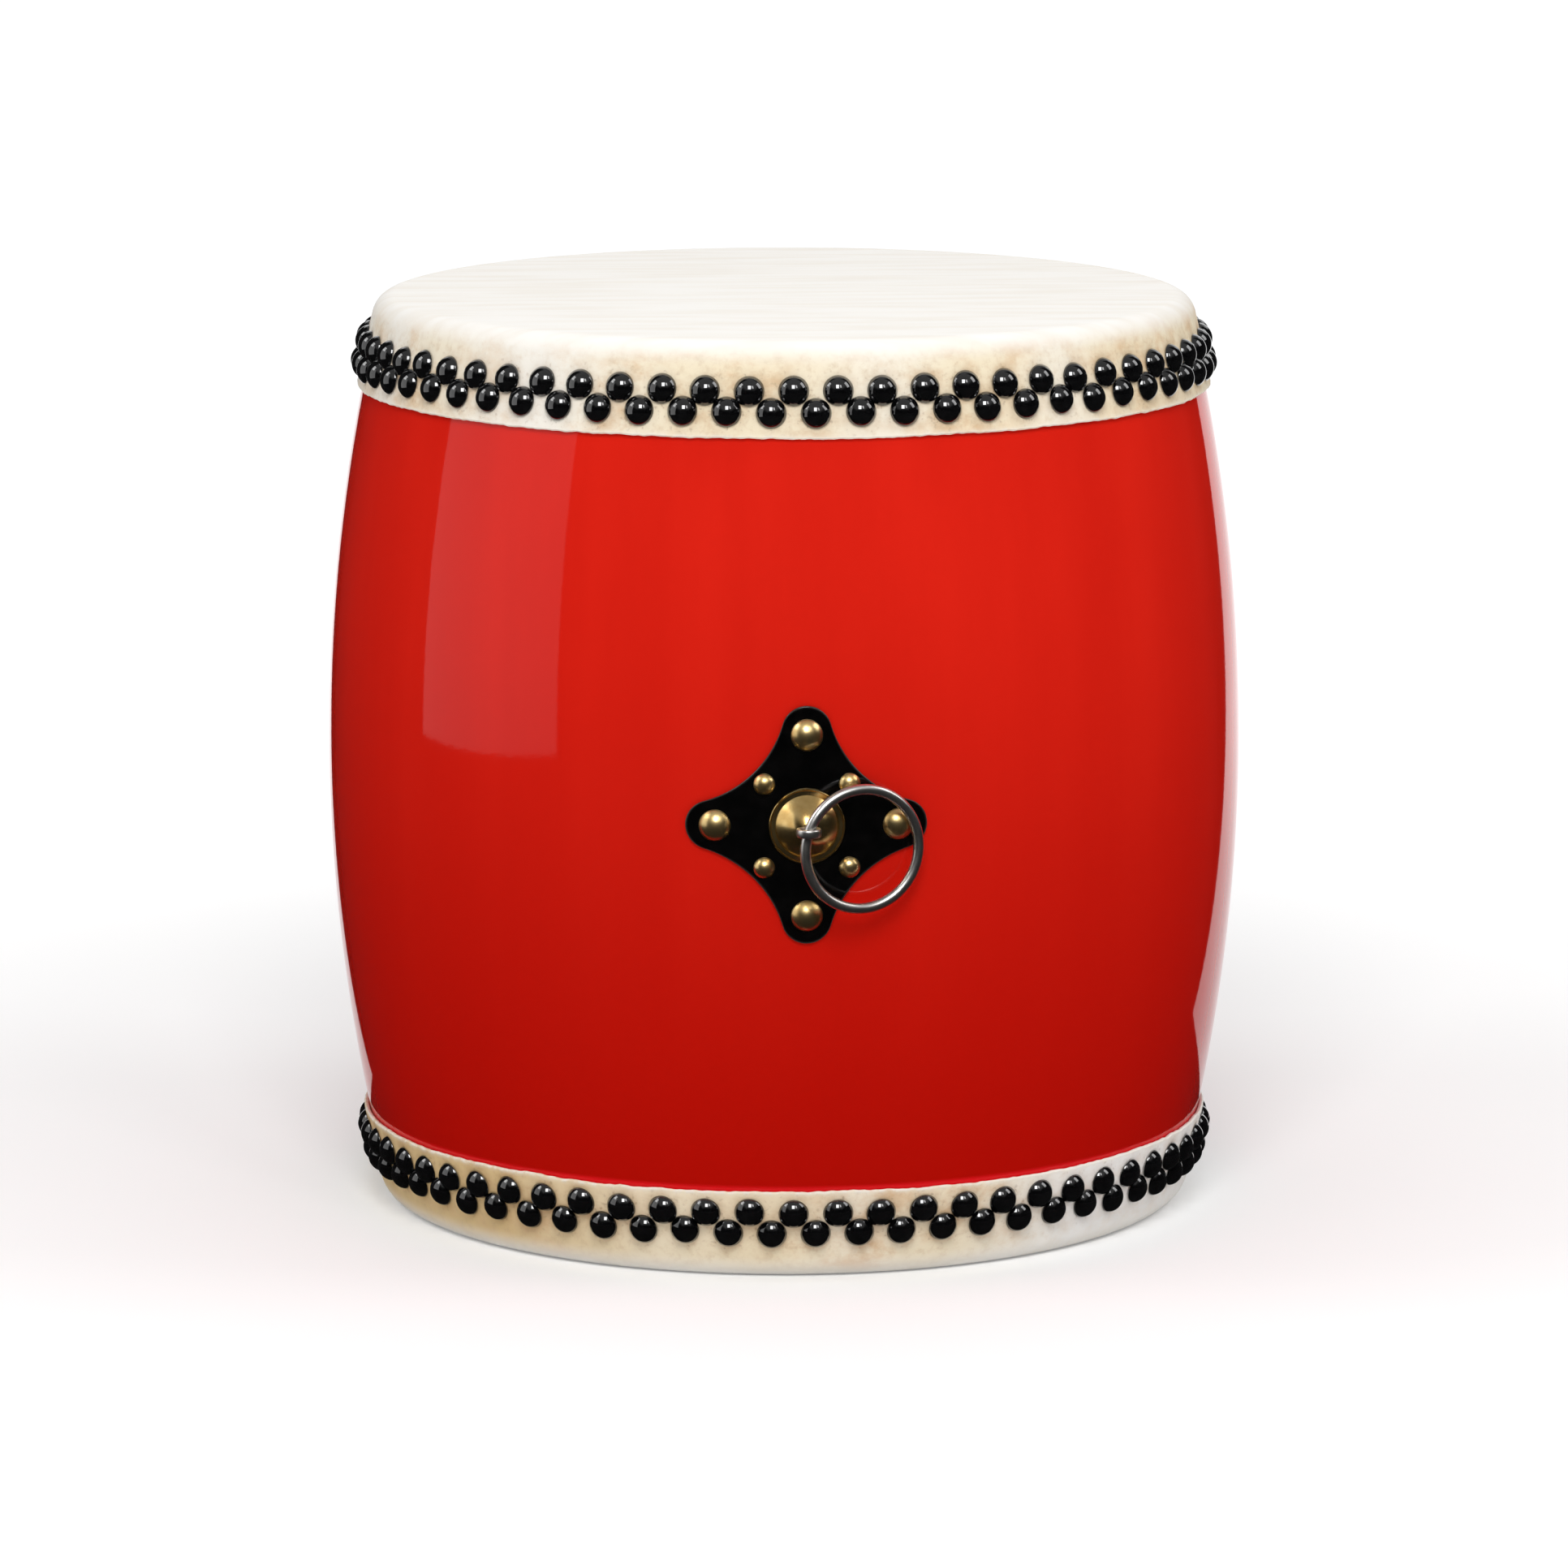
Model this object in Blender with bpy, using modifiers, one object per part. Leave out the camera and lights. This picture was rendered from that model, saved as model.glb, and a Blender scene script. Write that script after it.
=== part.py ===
"""A barrel drum for eisa dancing: a hollowed wooden body, two tacked skins and a ring fitting on two sides.

The origin is the centre of the lower skin's face. +Z is up, the front fitting faces -Y and the back one +Y.
Lengths are in metres and angles in radians.
"""

import math

import bmesh
import bpy
from mathutils import Matrix, Vector

# Clearance left between two pieces that touch
GAP = 0.0003

# Wooden body: its outside is a parabola, widest at half height
DRUM_HEIGHT = 0.400
BELLY_RADIUS = 0.2012
END_TAPER = 0.0254
SHELL_WALL = 0.016
BEARING_ROUND = 0.0075
BEARING_CHAMFER = 0.004

# Skins, drawn over both ends and down the sides
SKIN_THICKNESS = 0.002
SKIN_BAND = 0.0392

# Tacks: two staggered rows on each skin, whose heads meet along the diagonals
TACK_HEAD_RADIUS = 0.0065
TACK_HEAD_HEIGHT = 0.0046
TACK_CROWN_RADIUS = 0.0040
TACK_ROW_GAP = 0.0056
TACK_FIRST_ROW = 0.0206
TACK_BITE = 0.0005

# Four-lobed plate, bent to the body
PLATE_REACH = 0.0504
PLATE_TIP_RADIUS = 0.0104
PLATE_BOW = 0.0072
PLATE_THICKNESS = 0.0012

# Nails through the plate into the wood
BIG_NAIL_INSET = 0.0121
BIG_NAIL_RADIUS = 0.0068
BIG_NAIL_HEIGHT = 0.0042
BIG_SHANK_RADIUS = 0.0013
BIG_SHANK_LENGTH = 0.012
SMALL_NAIL_INSET = 0.0065
SMALL_NAIL_RADIUS = 0.0046
SMALL_NAIL_HEIGHT = 0.0032
SMALL_SHANK_RADIUS = 0.0010
SMALL_SHANK_LENGTH = 0.010

# Pressed boss under the split pin's eye; the cone is the straight share of its dome's rise
BOSS_RADIUS = 0.0162
BOSS_DOME_RADIUS = 0.0136
BOSS_HEIGHT = 0.0090
BOSS_SHEET = 0.0010
BOSS_CONE = 0.6

# Ring
RING_OUTER_RADIUS = 0.0275
RING_WIRE_RADIUS = 0.0023

# Split pin: an eye round the ring's wire and two legs clenched over a washer inside the body
EYE_PLAY = 0.00115
STRAP_THICKNESS = 0.0019
STRAP_HEIGHT = 0.0036
LEG_GAP = 0.0003
LEG_BEND_RADIUS = 0.0016
LEG_CLENCH = 0.0095
WASHER_RADIUS = 0.012
WASHER_THICKNESS = 0.0012

# Fineness of the shapes
MERGE_DISTANCE = 0.00001
SHARP_ANGLE = math.radians(40)
BODY_SIDES = 48
BODY_STEPS = 6
INNER_STEPS = 4
TACK_SIDES = 8
SHEET_SIDES = 110
NAIL_SIDES = 10
BOSS_SIDES = 20
PIN_HOLE_SIDES = 12
RING_SIDES = 36
WIRE_SIDES = 8

# Search for the angles at which the ring comes to rest
STEEPEST_ANGLE = math.radians(40)
ANGLE_STEP = math.radians(0.1)
RING_SAMPLES = 180

# Values that follow from the ones above
MIDDLE = DRUM_HEIGHT / 2
SKIN_BUILD_UP = GAP + SKIN_THICKNESS
SHELL_TOP = DRUM_HEIGHT - SKIN_BUILD_UP
ROUND = min(BEARING_ROUND, SHELL_WALL / 2)
PLATE_TOP = GAP + PLATE_THICKNESS
PLATE_SEAT = PLATE_TOP + GAP
TIP_CENTRE = PLATE_REACH - PLATE_TIP_RADIUS
PLATE_WAIST = TIP_CENTRE / math.sqrt(2) + PLATE_TIP_RADIUS - PLATE_BOW
BIG_NAIL_CIRCLE = PLATE_REACH - BIG_NAIL_INSET
SMALL_NAIL_CIRCLE = PLATE_WAIST - SMALL_NAIL_INSET
RING_RADIUS = RING_OUTER_RADIUS - RING_WIRE_RADIUS
EYE_RADIUS = RING_WIRE_RADIUS + EYE_PLAY + STRAP_THICKNESS / 2
LEG_OFFSET = (LEG_GAP + STRAP_THICKNESS) / 2
EYE_LIFT = PLATE_SEAT + BOSS_HEIGHT + GAP + EYE_RADIUS + STRAP_THICKNESS / 2
PIN_HOLE_RADIUS = math.hypot(LEG_OFFSET + STRAP_THICKNESS / 4, STRAP_HEIGHT / 2) + GAP
WASHER_SEAT = SHELL_WALL + WASHER_RADIUS * math.tan(math.pi / BODY_SIDES) + GAP
CLENCH_DEPTH = WASHER_SEAT + WASHER_THICKNESS + GAP + STRAP_THICKNESS / 2

SIDES = {"front": 0.0, "back": math.pi}
QUARTERS = {"right": 0.0, "top": 0.5 * math.pi, "left": math.pi, "bottom": 1.5 * math.pi}


# Scene and objects

def clear_scene():
    for obj in list(bpy.data.objects):
        bpy.data.objects.remove(obj, do_unlink=True)


def new_collection(name):
    collection = bpy.data.collections.new(name)
    bpy.context.scene.collection.children.link(collection)
    return collection


def new_material(name, colour, roughness, metallic):
    material = bpy.data.materials.new(name)
    material.use_nodes = True
    shader = material.node_tree.nodes["Principled BSDF"]
    shader.inputs["Base Color"].default_value = (*colour, 1.0)
    shader.inputs["Roughness"].default_value = roughness
    shader.inputs["Metallic"].default_value = metallic
    material.diffuse_color = (*colour, 1.0)
    return material


def add_object(name, data, collection, material=None, place=Matrix()):
    obj = bpy.data.objects.new(name, data)
    collection.objects.link(obj)
    obj.matrix_world = place
    if material:
        data.materials.clear()
        data.materials.append(material)
    return obj


def smooth(mesh):
    mesh.shade_smooth()
    mesh.set_sharp_from_angle(angle=SHARP_ANGLE)


def baked_mesh(source):
    """The evaluated mesh of an object, which is then removed."""
    graph = bpy.context.evaluated_depsgraph_get()
    mesh = bpy.data.meshes.new_from_object(source.evaluated_get(graph))
    bpy.data.objects.remove(source, do_unlink=True)
    bm = bmesh.new()
    bm.from_mesh(mesh)
    bmesh.ops.remove_doubles(bm, verts=bm.verts, dist=MERGE_DISTANCE)
    bm.to_mesh(mesh)
    bm.free()
    smooth(mesh)
    return mesh


def turned_mesh(points, sides, closed):
    """A profile of (radius, height) points turned about Z, with its outer side listed from the top down."""
    mesh = bpy.data.meshes.new("profile")
    edges = [(i, i + 1) for i in range(len(points) - 1)]
    if closed:
        edges.append((len(points) - 1, 0))
    mesh.from_pydata([(radius, 0.0, height) for radius, height in points], edges, [])
    obj = add_object("profile", mesh, bpy.context.scene.collection)
    screw = obj.modifiers.new("Turn", "SCREW")
    screw.axis = "Z"
    screw.steps = sides
    screw.render_steps = sides
    screw.use_merge_vertices = True
    screw.merge_threshold = MERGE_DISTANCE
    bpy.context.view_layer.update()
    return baked_mesh(obj)


def as_cutter(obj):
    obj.hide_render = True
    obj.display_type = "WIRE"
    return obj


def add_boolean(obj, operation, other):
    modifier = obj.modifiers.new(operation.title(), "BOOLEAN")
    modifier.operation = operation
    modifier.solver = "EXACT"
    modifier.object = other


# The body's outside

def wall_radius(height):
    return BELLY_RADIUS - END_TAPER * ((height - MIDDLE) / MIDDLE) ** 2


def wall_tilt(height):
    """How far the wall's outward normal points up."""
    return math.atan(2 * END_TAPER * (height - MIDDLE) / MIDDLE ** 2)


def wall_point(height, lift):
    tilt = wall_tilt(height)
    return wall_radius(height) + lift * math.cos(tilt), height + lift * math.sin(tilt)


def wall_frame(azimuth, height, lift):
    """A place over the wall: X runs round the body, Y up along it and Z outwards. Azimuth 0 is the front."""
    radius, raised = wall_point(height, lift)
    tilt = wall_tilt(height)
    outwards = Vector((math.sin(azimuth), -math.cos(azimuth), 0.0))
    normal = outwards * math.cos(tilt) + Vector((0.0, 0.0, math.sin(tilt)))
    around = Vector((math.cos(azimuth), math.sin(azimuth), 0.0))
    upwards = normal.cross(around)
    frame = Matrix((around, upwards, normal)).transposed().to_4x4()
    frame.translation = outwards * radius + Vector((0.0, 0.0, raised))
    return frame


def bearing_corner():
    """Centre of the rounded top edge, and the height where the round meets the wall."""
    centre_height = SHELL_TOP - ROUND
    meets = centre_height
    for _ in range(8):
        meets = centre_height + ROUND * math.sin(wall_tilt(meets))
    return wall_radius(meets) - ROUND * math.cos(wall_tilt(meets)), centre_height, meets


def corner_arc(lift, steps):
    """The rounded edge, lifted off the wood, from the flat top down to the wall."""
    radius, height, meets = bearing_corner()
    start = math.pi / 2
    end = wall_tilt(meets)
    points = []
    for step in range(steps + 1):
        angle = start + (end - start) * step / steps
        reach = ROUND + lift
        points.append((radius + reach * math.cos(angle), height + reach * math.sin(angle)))
    return points


def flipped(points):
    return [(radius, DRUM_HEIGHT - height) for radius, height in reversed(points)]


# Wooden body

def shell_mesh():
    corner_radius, _, meets = bearing_corner()
    skin_edge = DRUM_HEIGHT - SKIN_BAND
    upper = corner_arc(0.0, 3) + [wall_point((meets + skin_edge) / 2, 0.0)]
    reach = skin_edge - MIDDLE
    side = [wall_point(skin_edge - 2 * reach * step / BODY_STEPS, 0.0) for step in range(BODY_STEPS + 1)]
    inner_end = wall_radius(SHELL_TOP) - SHELL_WALL
    chamfer = min(BEARING_CHAMFER, (corner_radius - inner_end) / 2)
    lip = [(inner_end + chamfer, SHELL_TOP)]
    inner_top = SHELL_TOP - chamfer
    inner_reach = inner_top - MIDDLE
    inner = []
    for step in range(INNER_STEPS + 1):
        height = MIDDLE - inner_reach + 2 * inner_reach * step / INNER_STEPS
        inner.append((wall_radius(height) - SHELL_WALL, height))
    outer = lip + upper + side + flipped(lip + upper)
    return turned_mesh(outer + inner, BODY_SIDES, True)


def add_shell(parts, material, hole_cutters):
    shell = add_object("body_shell", shell_mesh(), parts, material)
    for cutter in hole_cutters:
        add_boolean(shell, "DIFFERENCE", cutter)


# Skins

def skin_mesh():
    _, _, meets = bearing_corner()
    skin_edge = DRUM_HEIGHT - SKIN_BAND
    heights = [(meets + skin_edge) / 2, skin_edge]
    outer = corner_arc(SKIN_BUILD_UP, 4) + [wall_point(height, SKIN_BUILD_UP) for height in heights]
    inner = corner_arc(GAP, 3) + [wall_point(height, GAP) for height in heights]
    face = [(0.0, DRUM_HEIGHT)]
    underside = [(0.0, SHELL_TOP + GAP)]
    return turned_mesh(face + outer + inner[::-1] + underside, BODY_SIDES, False)


def add_skins(parts, material, turned_over):
    mesh = skin_mesh()
    add_object("head_top", mesh, parts, material)
    add_object("head_bottom", mesh, parts, material, turned_over)


# Tacks

def tack_layout():
    """Tacks in a row, the two rows' heights, and the radius across the corners of a head."""
    height = DRUM_HEIGHT - TACK_FIRST_ROW
    pitch = 2 * TACK_HEAD_RADIUS + TACK_ROW_GAP
    seat = SKIN_BUILD_UP + GAP
    count = round(2 * math.pi * wall_point(height, seat)[0] / pitch)
    spacing = math.sqrt((2 * TACK_HEAD_RADIUS) ** 2 - (pitch / 2) ** 2)
    second = height - spacing * math.cos(wall_tilt(height))
    middle_radius = (wall_point(height, seat)[0] + wall_point(second, seat)[0]) / 2
    half_pitch = 2 * middle_radius * math.sin(math.pi / count / 2)
    diagonal = math.atan2(spacing, half_pitch)
    half_side = math.pi / TACK_SIDES
    off_corner = abs(math.pi / 4 - diagonal)
    corner_radius = (math.hypot(half_pitch, spacing) + TACK_BITE) / 2
    corner_radius *= math.cos(half_side - off_corner) / math.cos(half_side)
    return count, (height, second), corner_radius


def tack_row(name, head, count, height, start, collection):
    """One row's heads in one mesh, none touching another."""
    bm = bmesh.new()
    for index in range(count):
        azimuth = start + 2 * math.pi * index / count
        place = wall_frame(azimuth, height, SKIN_BUILD_UP + GAP)
        first = len(bm.verts)
        bm.from_mesh(head)
        bm.verts.ensure_lookup_table()
        bmesh.ops.transform(bm, matrix=place, verts=bm.verts[first:])
    mesh = bpy.data.meshes.new(name)
    bm.to_mesh(mesh)
    bm.free()
    return add_object(name, mesh, collection)


def add_tacks(parts, material, turned_over):
    count, heights, corner_radius = tack_layout()
    crown = TACK_CROWN_RADIUS / TACK_HEAD_RADIUS * corner_radius
    profile = [(0.0, TACK_HEAD_HEIGHT), (crown, TACK_HEAD_HEIGHT), (corner_radius, 0.0), (0.0, 0.0)]
    head = turned_mesh(profile, TACK_SIDES, False)
    quarter_pitch = math.pi / count / 2
    outer_row = tack_row("tacks_outer", head, count, heights[0], -quarter_pitch, bpy.context.scene.collection)
    inner_row = tack_row("tacks_inner", head, count, heights[1], quarter_pitch, bpy.context.scene.collection)
    add_boolean(outer_row, "UNION", inner_row)
    bpy.context.view_layer.update()
    mesh = baked_mesh(outer_row)
    bpy.data.objects.remove(inner_row, do_unlink=True)
    add_object("tacks_top", mesh, parts, material)
    add_object("tacks_bottom", mesh, parts, material, turned_over)


# Nails

def nail_places():
    """Name, ring angle, circle radius and size of each nail of one fitting."""
    big = (BIG_NAIL_RADIUS, BIG_NAIL_HEIGHT, BIG_SHANK_RADIUS, BIG_SHANK_LENGTH)
    small = (SMALL_NAIL_RADIUS, SMALL_NAIL_HEIGHT, SMALL_SHANK_RADIUS, SMALL_SHANK_LENGTH)
    places = []
    for index, (name, angle) in enumerate(QUARTERS.items()):
        places.append((f"nail_{name}", angle, BIG_NAIL_CIRCLE, big))
        places.append((f"small_nail_{index + 1}", angle + math.pi / 4, SMALL_NAIL_CIRCLE, small))
    return places


def nail_frame(side, angle, circle, lift):
    azimuth = SIDES[side] + circle * math.cos(angle) / BELLY_RADIUS
    return wall_frame(azimuth, MIDDLE + circle * math.sin(angle), lift)


def cap_profile(radius, height, steps):
    """The upper side of a domed head, a slice of a sphere, from its crown to its rim."""
    ball = (radius ** 2 + height ** 2) / (2 * height)
    half_angle = math.acos((ball - height) / ball)
    points = []
    for step in range(steps + 1):
        angle = half_angle * step / steps
        points.append((ball * math.sin(angle), height - ball + ball * math.cos(angle)))
    points[0] = (0.0, height)
    return points


def nail_mesh(size):
    radius, height, shank_radius, length = size
    point = -length - PLATE_SEAT
    profile = cap_profile(radius, height, 2)
    profile += [(shank_radius, 0.0), (shank_radius, point + shank_radius), (0.0, point)]
    return turned_mesh(profile, NAIL_SIDES, False)


def add_nails(side, parts, material):
    for name, angle, circle, size in nail_places():
        place = nail_frame(side, angle, circle, PLATE_SEAT)
        add_object(f"{side}_{name}", nail_mesh(size), parts, material, place)


# Holes for the nails and the split pin

def add_cylinder(bm, radius, top, bottom, segments, place):
    """A cylinder along the place's Z axis between two heights."""
    shift = Matrix.Translation((0.0, 0.0, (top + bottom) / 2))
    bmesh.ops.create_cone(bm, cap_ends=True, segments=segments, radius1=radius, radius2=radius,
                          depth=top - bottom, matrix=place @ shift)


def add_hole_cutter(side, cutters):
    bm = bmesh.new()
    above_plate = PLATE_SEAT + PLATE_THICKNESS
    for _, angle, circle, (_, _, shank_radius, length) in nail_places():
        place = nail_frame(side, angle, circle, 0.0)
        add_cylinder(bm, shank_radius + GAP, above_plate, -length - GAP, NAIL_SIDES, place)
    pin_place = wall_frame(SIDES[side], MIDDLE, 0.0)
    add_cylinder(bm, PIN_HOLE_RADIUS, above_plate, -1.5 * SHELL_WALL, PIN_HOLE_SIDES, pin_place)
    mesh = bpy.data.meshes.new(f"{side}_holes")
    bm.to_mesh(mesh)
    bm.free()
    return as_cutter(add_object(f"{side}_holes", mesh, cutters))


# Plate

def arc_points(centre_x, centre_y, radius, start, end, steps):
    points = []
    for step in range(steps + 1):
        angle = start + (end - start) * step / steps
        points.append((centre_x + radius * math.cos(angle), centre_y + radius * math.sin(angle)))
    return points


def plate_outline():
    """Four round tips joined by sides that bow inwards, each side an arc tangent to both tips."""
    inner = TIP_CENTRE / math.sqrt(2) - PLATE_BOW
    side_centre = (TIP_CENTRE ** 2 - inner ** 2) / (2 * PLATE_BOW)
    side_radius = side_centre - PLATE_WAIST
    along = side_centre / math.sqrt(2)
    turn = math.atan2(along, along - TIP_CENTRE)
    tip = arc_points(TIP_CENTRE, 0.0, PLATE_TIP_RADIUS, -turn, turn, 6)
    swing = turn - math.pi / 4
    side = arc_points(along, along, side_radius, 1.25 * math.pi + swing, 1.25 * math.pi - swing, 6)
    lobe = tip + side[1:-1]
    outline = []
    for angle in QUARTERS.values():
        for x, y in lobe:
            outline.append((x * math.cos(angle) - y * math.sin(angle), x * math.sin(angle) + y * math.cos(angle)))
    return outline


def add_plate_blank(name, parts, material, place):
    """The outline as a thick block, which the bent sheet trims to its thickness."""
    outline = plate_outline()
    curve = bpy.data.curves.new(name, "CURVE")
    curve.dimensions = "2D"
    curve.fill_mode = "BOTH"
    sag = BELLY_RADIUS - math.sqrt(BELLY_RADIUS ** 2 - PLATE_REACH ** 2)
    curve.extrude = sag + 2 * PLATE_TOP
    spline = curve.splines.new("POLY")
    spline.points.add(len(outline) - 1)
    for point, (x, y) in zip(spline.points, outline):
        point.co = (x, y, 0.0, 1.0)
    spline.use_cyclic_u = True
    guide = add_object(name, curve, bpy.context.scene.collection)
    bpy.context.view_layer.update()
    return add_object(name, baked_mesh(guide), parts, material, place)


def add_bent_sheet(cutters):
    """A band round the whole body, from which both plates are cut."""
    half = PLATE_REACH + PLATE_TIP_RADIUS
    heights = [MIDDLE + half - half * step / 2 for step in range(5)]
    outer = [wall_point(height, PLATE_TOP) for height in heights]
    inner = [wall_point(height, GAP) for height in reversed(heights)]
    return as_cutter(add_object("bent_sheet", turned_mesh(outer + inner, SHEET_SIDES, True), cutters))


def add_plate(side, parts, material, sheet, holes):
    plate = add_plate_blank(f"{side}_plate", parts, material, wall_frame(SIDES[side], MIDDLE, 0.0))
    add_boolean(plate, "INTERSECT", sheet)
    add_boolean(plate, "DIFFERENCE", holes)


# Boss

def boss_side(radius, height, base, steps):
    """The dome from the hole's edge down to its foot, part straight cone and part round."""
    points = []
    for step in range(steps + 1):
        part = step / steps
        rise = BOSS_CONE * (1 - part) + (1 - BOSS_CONE) * math.cos(math.pi / 2 * part)
        points.append((PIN_HOLE_RADIUS + (radius - PIN_HOLE_RADIUS) * part, base + (height - base) * rise))
    return points


def boss_mesh():
    outer = boss_side(BOSS_DOME_RADIUS, BOSS_HEIGHT, BOSS_SHEET, 6)
    rim = [(BOSS_RADIUS, BOSS_SHEET), (BOSS_RADIUS, 0.0)]
    inner = boss_side(BOSS_DOME_RADIUS - BOSS_SHEET, BOSS_HEIGHT - BOSS_SHEET, 0.0, 4)
    return turned_mesh(outer + rim + inner[::-1], BOSS_SIDES, True)


def add_boss(side, parts, material):
    add_object(f"{side}_boss", boss_mesh(), parts, material, wall_frame(SIDES[side], MIDDLE, PLATE_SEAT))


# Split pin and washer

def pin_half():
    """One half of the pin's centre line, from the eye's front to the end of a leg. Y is the lift off the wall."""
    neck_x = LEG_OFFSET + LEG_BEND_RADIUS
    neck_reach = EYE_RADIUS + LEG_BEND_RADIUS
    neck_angle = math.asin(neck_x / neck_reach)
    neck_y = EYE_LIFT - neck_reach * math.cos(neck_angle)
    eye = arc_points(0.0, EYE_LIFT, EYE_RADIUS, math.pi / 2, neck_angle - math.pi / 2, 9)
    neck = arc_points(neck_x, neck_y, LEG_BEND_RADIUS, math.pi / 2 + neck_angle, math.pi, 3)
    bend_y = LEG_BEND_RADIUS - CLENCH_DEPTH
    bend = arc_points(neck_x, bend_y, LEG_BEND_RADIUS, math.pi, 1.5 * math.pi, 4)
    return eye + neck[1:] + bend + [(LEG_CLENCH, -CLENCH_DEPTH)]


def add_split_pin(side, parts, material):
    right = pin_half()
    left = [(-x, y) for x, y in right[:0:-1]]
    path = left + right
    curve = bpy.data.curves.new(f"{side}_split_pin", "CURVE")
    curve.dimensions = "3D"
    curve.bevel_depth = STRAP_THICKNESS / 2
    curve.bevel_resolution = 2
    curve.use_fill_caps = True
    spline = curve.splines.new("POLY")
    spline.points.add(len(path) - 1)
    for point, (x, lift) in zip(spline.points, path):
        point.co = (x, 0.0, lift, 1.0)
    flatten = Matrix.Diagonal((1.0, STRAP_HEIGHT / STRAP_THICKNESS, 1.0, 1.0))
    add_object(f"{side}_split_pin", curve, parts, material, wall_frame(SIDES[side], MIDDLE, 0.0) @ flatten)


def add_washer(side, parts, material):
    profile = [(WASHER_RADIUS, 0.0), (WASHER_RADIUS, -WASHER_THICKNESS),
               (PIN_HOLE_RADIUS, -WASHER_THICKNESS), (PIN_HOLE_RADIUS, 0.0)]
    mesh = turned_mesh(profile, PIN_HOLE_SIDES, True)
    add_object(f"{side}_pin_washer", mesh, parts, material, wall_frame(SIDES[side], MIDDLE, -WASHER_SEAT))


# Ring

def settled_angle(clearance):
    """The largest angle at which a clearance is still one gap."""
    angle = STEEPEST_ANGLE
    while angle > 0.0 and clearance(angle) < GAP:
        angle -= ANGLE_STEP
    return angle


def eye_clearance(sag):
    """Play left in the eye when the ring's wire passes through it at a slant."""
    half = STRAP_HEIGHT / 2
    slant = half * math.tan(sag) + RING_WIRE_RADIUS * (1 / math.cos(sag) - 1)
    return EYE_PLAY - slant - half ** 2 / (2 * RING_RADIUS)


def ring_place(lean, sag):
    """The ring in its eye's frame: X sideways, Y up and Z outwards. It leans towards the body."""
    turn = Matrix.Rotation(lean, 4, "Y")
    centre = turn @ Vector((RING_RADIUS * math.cos(sag), -RING_RADIUS * math.sin(sag), 0.0))
    return Matrix.Translation(centre) @ turn


def lean_clearance(lean, sag):
    """Least distance from the leaning ring to the plate and to the nails' heads."""
    place = wall_frame(0.0, MIDDLE, EYE_LIFT) @ ring_place(lean, sag)
    balls = []
    for _, angle, circle, (radius, height, _, _) in nail_places():
        ball = (radius ** 2 + height ** 2) / (2 * height)
        balls.append((nail_frame("front", angle, circle, PLATE_SEAT + height - ball).translation, ball))
    least = BELLY_RADIUS
    for x, y in arc_points(0.0, 0.0, RING_RADIUS, 0.0, 2 * math.pi, RING_SAMPLES):
        point = place @ Vector((x, y, 0.0))
        over_wall = math.hypot(point.x, point.y) - wall_radius(point.z)
        least = min(least, over_wall - PLATE_TOP - RING_WIRE_RADIUS)
        for centre, ball in balls:
            least = min(least, (point - centre).length - ball - RING_WIRE_RADIUS)
    return least


def add_ring(side, parts, material):
    """The ring turns on the vertical axis of its eye, where its parent empty stands."""
    sag = settled_angle(eye_clearance)
    lean = settled_angle(lambda angle: lean_clearance(angle, sag))
    hinge = bpy.data.objects.new(f"{side}_ring_axis", None)
    parts.objects.link(hinge)
    hinge.matrix_world = wall_frame(SIDES[side], MIDDLE, EYE_LIFT)
    bpy.ops.mesh.primitive_torus_add(major_segments=RING_SIDES, minor_segments=WIRE_SIDES,
                                     major_radius=RING_RADIUS, minor_radius=RING_WIRE_RADIUS)
    made = bpy.context.active_object
    mesh = made.data
    bpy.data.objects.remove(made, do_unlink=True)
    smooth(mesh)
    ring = add_object(f"{side}_ring", mesh, parts, material)
    ring.parent = hinge
    ring.matrix_local = ring_place(lean, sag)


def build():
    clear_scene()
    parts = new_collection("eisa_drum")
    cutters = new_collection("cutters")
    lacquer = new_material("red_lacquer", (0.62, 0.012, 0.008), 0.12, 0.0)
    hide = new_material("hide", (0.86, 0.78, 0.64), 0.6, 0.0)
    black = new_material("black_enamel", (0.006, 0.006, 0.007), 0.2, 0.0)
    brass = new_material("brass", (0.62, 0.45, 0.20), 0.3, 1.0)
    steel = new_material("steel", (0.62, 0.61, 0.60), 0.2, 1.0)
    turned_over = Matrix.Translation((0.0, 0.0, DRUM_HEIGHT)) @ Matrix.Rotation(math.pi, 4, "X")
    hole_cutters = {side: add_hole_cutter(side, cutters) for side in SIDES}
    sheet = add_bent_sheet(cutters)
    add_shell(parts, lacquer, hole_cutters.values())
    add_skins(parts, hide, turned_over)
    add_tacks(parts, black, turned_over)
    for side in SIDES:
        add_plate(side, parts, black, sheet, hole_cutters[side])
        add_boss(side, parts, brass)
        add_nails(side, parts, brass)
        add_split_pin(side, parts, steel)
        add_washer(side, parts, steel)
        add_ring(side, parts, steel)


build()
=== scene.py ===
"""Looks of the eisa drum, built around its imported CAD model.

Everything is in metres in the model's own frame: the origin is the centre of the lower skin's face, +Z is
up and the front fitting faces -Y. Angles are in radians unless a name says degrees.
"""

import math

import bmesh
import bpy
import numpy as np
from mathutils import Matrix, Vector, noise


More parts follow.
